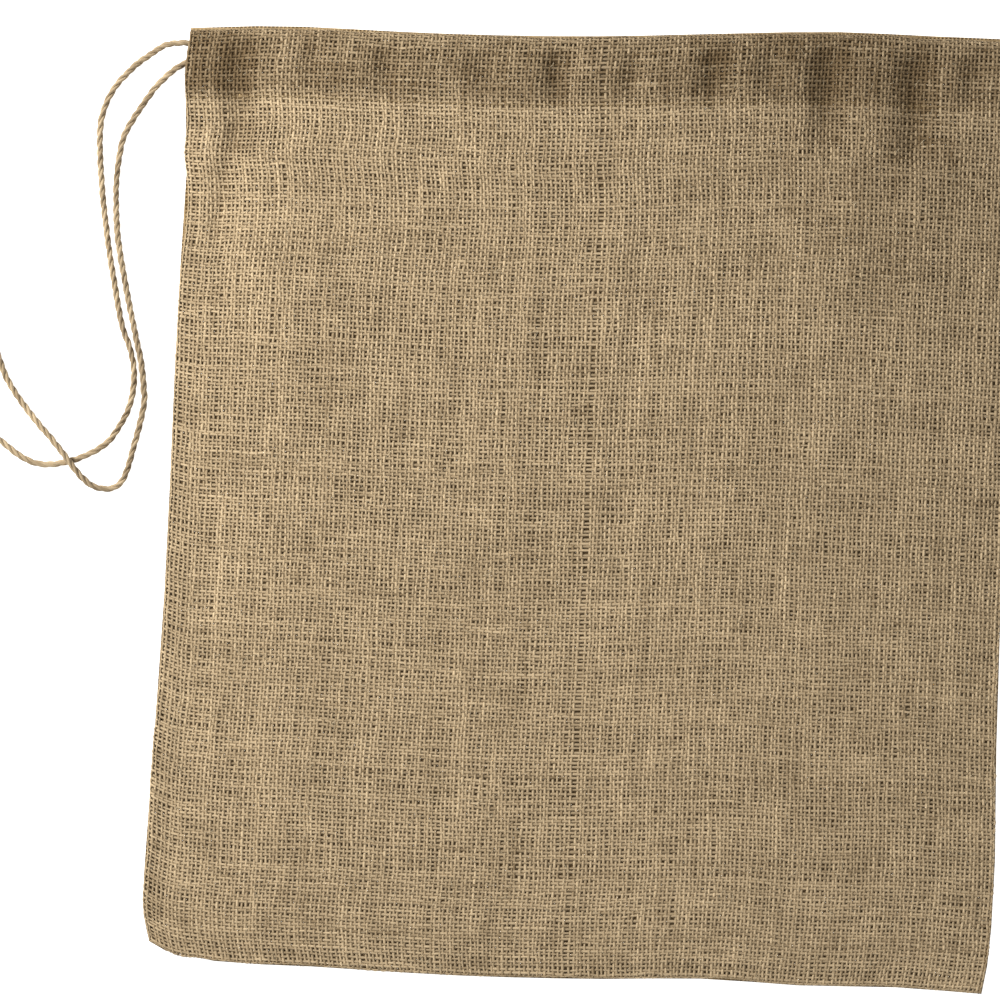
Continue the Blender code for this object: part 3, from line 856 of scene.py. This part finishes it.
root = cross_at[rng.integers(1, rows - 1, FIBRES), rng.integers(0, WEFTS, FIBRES)]
heading = rng.uniform(0.0, 2 * math.pi, (FIBRES, 1))
bend = rng.normal(0.0, FIBRE_BEND, (FIBRES, 1))
step = np.linspace(0.0, 1.0, FIBRE_RINGS)[None]
length = rng.uniform(*FIBRE_LENGTHS, (FIBRES, 1))
way = heading + bend * step
fibre_x = root[:, :1] + length * np.cumsum(np.cos(way), axis=1) / FIBRE_RINGS
fibre_y = root[:, 1:2] + length * np.cumsum(np.sin(way), axis=1) / FIBRE_RINGS
stand = FIBRE_ARCH * rng.uniform(0.2, 1.0, (FIBRES, 1))
lifted = FIBRE_LIFT + stand * np.sin(math.pi * step)
middle = np.stack([fibre_x, fibre_y, root[:, 2:] + lifted], axis=-1)
side = np.stack([-np.sin(way), np.cos(way), 0 * way], axis=-1)
upward = np.array([0.0, 0.0, 1.0])
triangle = [(math.cos(a), math.sin(a)) for a in 2 * math.pi * np.arange(3) / 3]
ring = np.stack([middle + FIBRE_RADIUS * (c * side + s * upward) for c, s in triangle], axis=2)
fibre_quads, fibre_ends = tube_faces(FIBRES, FIBRE_RINGS, 3)
loose_fibres = mesh_piece("loose_fibres", ring, fibre_quads, fibre_ends)
loose_fibres.data.materials.append(matt_material("jute_fibre_pale", "#d9c9a8", 0.7))
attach(loose_fibres, "root")


# --- Front panel: the shade between its threads ------------------------------------------
# The gaps between the threads show the dark inside of the sack. A thin sheet just
# under the threads stands for the cloth's own depth, so nothing shines through; its
# dark brown is painted shade of the sack's inside.

GROUND_THICKNESS = 0.5
GROUND_DEPTH = 0.55       # below the threads' middles
GROUND_STEP = 3           # threads from one row of it to the next
GROUND_LOWEST = 0.6       # of its upper side, where the corners roll under
some_rows = np.unique(np.concatenate([np.arange(0, rows, GROUND_STEP), [rows - 1]]))
some_columns = np.unique(
    np.concatenate([np.arange(0, WEFTS, GROUND_STEP), np.arange(WEFTS - 1, columns)])
)
pick = np.ix_(some_rows, some_columns)
ground_points = cross_at[pick] - GROUND_DEPTH * out[pick]
ground_points[..., 2] = np.maximum(ground_points[..., 2], GROUND_LOWEST)
index = np.arange(len(some_rows) * len(some_columns)).reshape(len(some_rows), -1)
ground_quads = np.stack(
    [index[:-1, :-1], index[1:, :-1], index[1:, 1:], index[:-1, 1:]], axis=-1
)
front_ground = mesh_piece("front_panel_ground", ground_points, ground_quads)
thickness = front_ground.modifiers.new("cloth_thickness", "SOLIDIFY")
thickness.thickness = GROUND_THICKNESS * MM
thickness.offset = -1.0
# Painted shade: the sheet's dark brown stands for the shade inside the sack.
front_ground.data.materials.append(matt_material("jute_in_shade", "#5a4526", 0.95))
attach(front_ground, "root")
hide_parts("front_panel")


# --- Front panel: the hem's stitches ---------------------------------------------------
# The hem is held by one row of lockstitch in a thin brown thread, 34 mm below the
# fold. The thread pulls the cloth in, so each stitch is a short arch in a groove.

STITCHES = 128
STITCH_SEEN = 2.6         # length of a stitch between its two holes
STITCH_RADIUS = 0.26
STITCH_RINGS = 6
STITCH_SIDES = 5
STITCH_STRAY = 0.15       # of the row from a straight line
STITCH_SUNK = 0.25        # of a stitch's ends below the cloth's face
STITCH_ARCH = 0.45        # of its middle over its ends

stitch_u = (np.arange(STITCHES) + 0.5) / STITCHES
share_along = np.linspace(-0.5, 0.5, STITCH_RINGS)[None]
ends_u = stitch_u[:, None] + share_along * STITCH_SEEN / PANEL_WIDTH
stitch_top = through(TOP_EDGE, ends_u)
stitch_foot = through(BOTTOM_EDGE, ends_u)
stitch_stray = STITCH_STRAY * wander(rng, 1, STITCHES, 30)[0][:, None]
stitch_y = stitch_top - HEM_DEPTH + stitch_stray
stitch_v = (stitch_y - stitch_foot) / (stitch_top - stitch_foot)
stitch_left, stitch_right = through(LEFT_EDGE, stitch_v), through(RIGHT_EDGE, stitch_v)
stitch_x = stitch_left + (stitch_right - stitch_left) * ends_u
arch = STITCH_ARCH * np.sin(np.linspace(0.0, math.pi, STITCH_RINGS))[None]
stitch_z = front_face(stitch_x, stitch_y, ends_u, stitch_v) - STITCH_SUNK + arch
middle = np.stack([stitch_x, stitch_y, stitch_z], axis=-1)
side = 2 * math.pi * np.arange(STITCH_SIDES) / STITCH_SIDES
ring = np.stack([0 * side, np.cos(side), np.sin(side)], 1) * STITCH_RADIUS
stitch_quads, stitch_ends = tube_faces(STITCHES, STITCH_RINGS, STITCH_SIDES)
stitches = mesh_piece("hem_stitches", middle[:, :, None] + ring, stitch_quads, stitch_ends)
stitches.data.materials.append(matt_material("polycotton_sewing_thread", "#8d7752", 0.7))
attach(stitches, "root")


# --- Back panel --------------------------------------------------------------------------
# A second cut piece of the same hessian, flat on the surface, with its own hem folded
# inside. Only its edges and its hem show, so its solid keeps its shape and gets the
# look of the weave from its material.

WEAVE_PITCH = 1.9
WAVE_REPEAT = 0.31416     # metres between a wave texture's bands at scale 1


def hessian_material(name, dark, light):
    """Plain-woven jute hessian: threads 1.9 mm apart each way, matt and uneven.

    Two sets of bands along x and y stand for the threads. The larger of the two
    leaves dark only the gaps, as painted shade between the threads, and lifts the
    threads by half a millimetre of bump.
    """
    material = bpy.data.materials.new(name)
    material.use_nodes = True
    tree = material.node_tree
    shader = tree.nodes["Principled BSDF"]
    where = add_node(tree, "ShaderNodeTexCoord")
    bands = [
        add_node(
            tree, "ShaderNodeTexWave",
            {"bands_direction": direction, "Scale": WAVE_REPEAT / (WEAVE_PITCH * MM),
             "Distortion": 0.6, "Detail": 2.0, "Detail Scale": 0.4},
            {"Vector": where.outputs["Object"]},
        )
        for direction in ("X", "Y")
    ]
    crossing = add_node(
        tree, "ShaderNodeMath", {"operation": "MAXIMUM"},
        {0: bands[0].outputs["Fac"], 1: bands[1].outputs["Fac"]},
    )
    patch = add_node(
        tree, "ShaderNodeTexNoise", {"Scale": 120.0, "Detail": 4.0},
        {"Vector": where.outputs["Object"]},
    )
    share = add_node(
        tree, "ShaderNodeMath", {"operation": "MULTIPLY"},
        {0: crossing.outputs["Value"], 1: patch.outputs["Fac"]},
    )
    spread = add_node(
        tree, "ShaderNodeMapRange", {"From Min": 0.05, "From Max": 0.65},
        {"Value": share.outputs["Value"]},
    )
    colour = add_node(
        tree, "ShaderNodeMix", {"data_type": "RGBA", 6: linear(dark), 7: linear(light)},
        {0: spread.outputs["Result"]},
    )
    bump = add_node(
        tree, "ShaderNodeBump", {"Strength": 0.7, "Distance": 0.0005},
        {"Height": crossing.outputs["Value"]},
    )
    tree.links.new(colour.outputs[2], shader.inputs["Base Color"])
    tree.links.new(bump.outputs["Normal"], shader.inputs["Normal"])
    shader.inputs["Roughness"].default_value = 0.9
    shader.inputs["Specular IOR Level"].default_value = 0.2
    return material


back_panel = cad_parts["back_panel"]
back_panel.data.materials.clear()
# The hessian's dark gaps are painted shade between its threads.
back_panel.data.materials.append(hessian_material("jute_hessian_back", "#5a4526", "#b99f76"))


# --- Floor and light -------------------------------------------------------------------
# A plain white surface, bright enough to lose the shadows, and soft studio light from
# the upper left with a weaker fill from below.

FLOOR_REACH = 6.0         # metres from the middle to each side
FLOOR_LEVEL = -0.0002     # just below the sack, so that they share no face
FLOOR_GLOW = 0.9
AMBIENT = 0.25
KEY = ("key_upper_left", (-1.15, 0.58, 0.80), 0.45, 32.0)    # place, size and watts
FILL = ("fill_below", (0.45, -1.2, 1.1), 0.9, 7.0)

floor_mesh = bpy.data.meshes.new("white_surface")
floor_corners = [(-1, -1), (1, -1), (1, 1), (-1, 1)]
floor_mesh.from_pydata(
    [(x * FLOOR_REACH, y * FLOOR_REACH, FLOOR_LEVEL) for x, y in floor_corners],
    [], [(0, 1, 2, 3)],
)
floor = bpy.data.objects.new("white_surface", floor_mesh)
bpy.context.scene.collection.objects.link(floor)
white = bpy.data.materials.new("white_lightbox_surface")
white.use_nodes = True
white_shader = white.node_tree.nodes["Principled BSDF"]
white_shader.inputs["Base Color"].default_value = (0.8, 0.8, 0.8, 1.0)
white_shader.inputs["Roughness"].default_value = 0.9
white_shader.inputs["Emission Color"].default_value = (1.0, 1.0, 1.0, 1.0)
white_shader.inputs["Emission Strength"].default_value = FLOOR_GLOW
floor_mesh.materials.append(white)

for name, place, size, watts in (KEY, FILL):
    lamp = bpy.data.lights.new(name, "AREA")
    lamp.size = size
    lamp.energy = watts
    thing = bpy.data.objects.new(name, lamp)
    thing.location = place
    thing.rotation_mode = "QUATERNION"
    thing.rotation_quaternion = (-Vector(place)).to_track_quat("-Z", "Y")
    bpy.context.scene.collection.objects.link(thing)

world = bpy.data.worlds.new("studio")
world.use_nodes = True
backdrop = world.node_tree.nodes["Background"]
backdrop.inputs["Color"].default_value = (1.0, 1.0, 1.0, 1.0)
backdrop.inputs["Strength"].default_value = AMBIENT
bpy.context.scene.world = world
bpy.context.scene.view_settings.view_transform = "Standard"
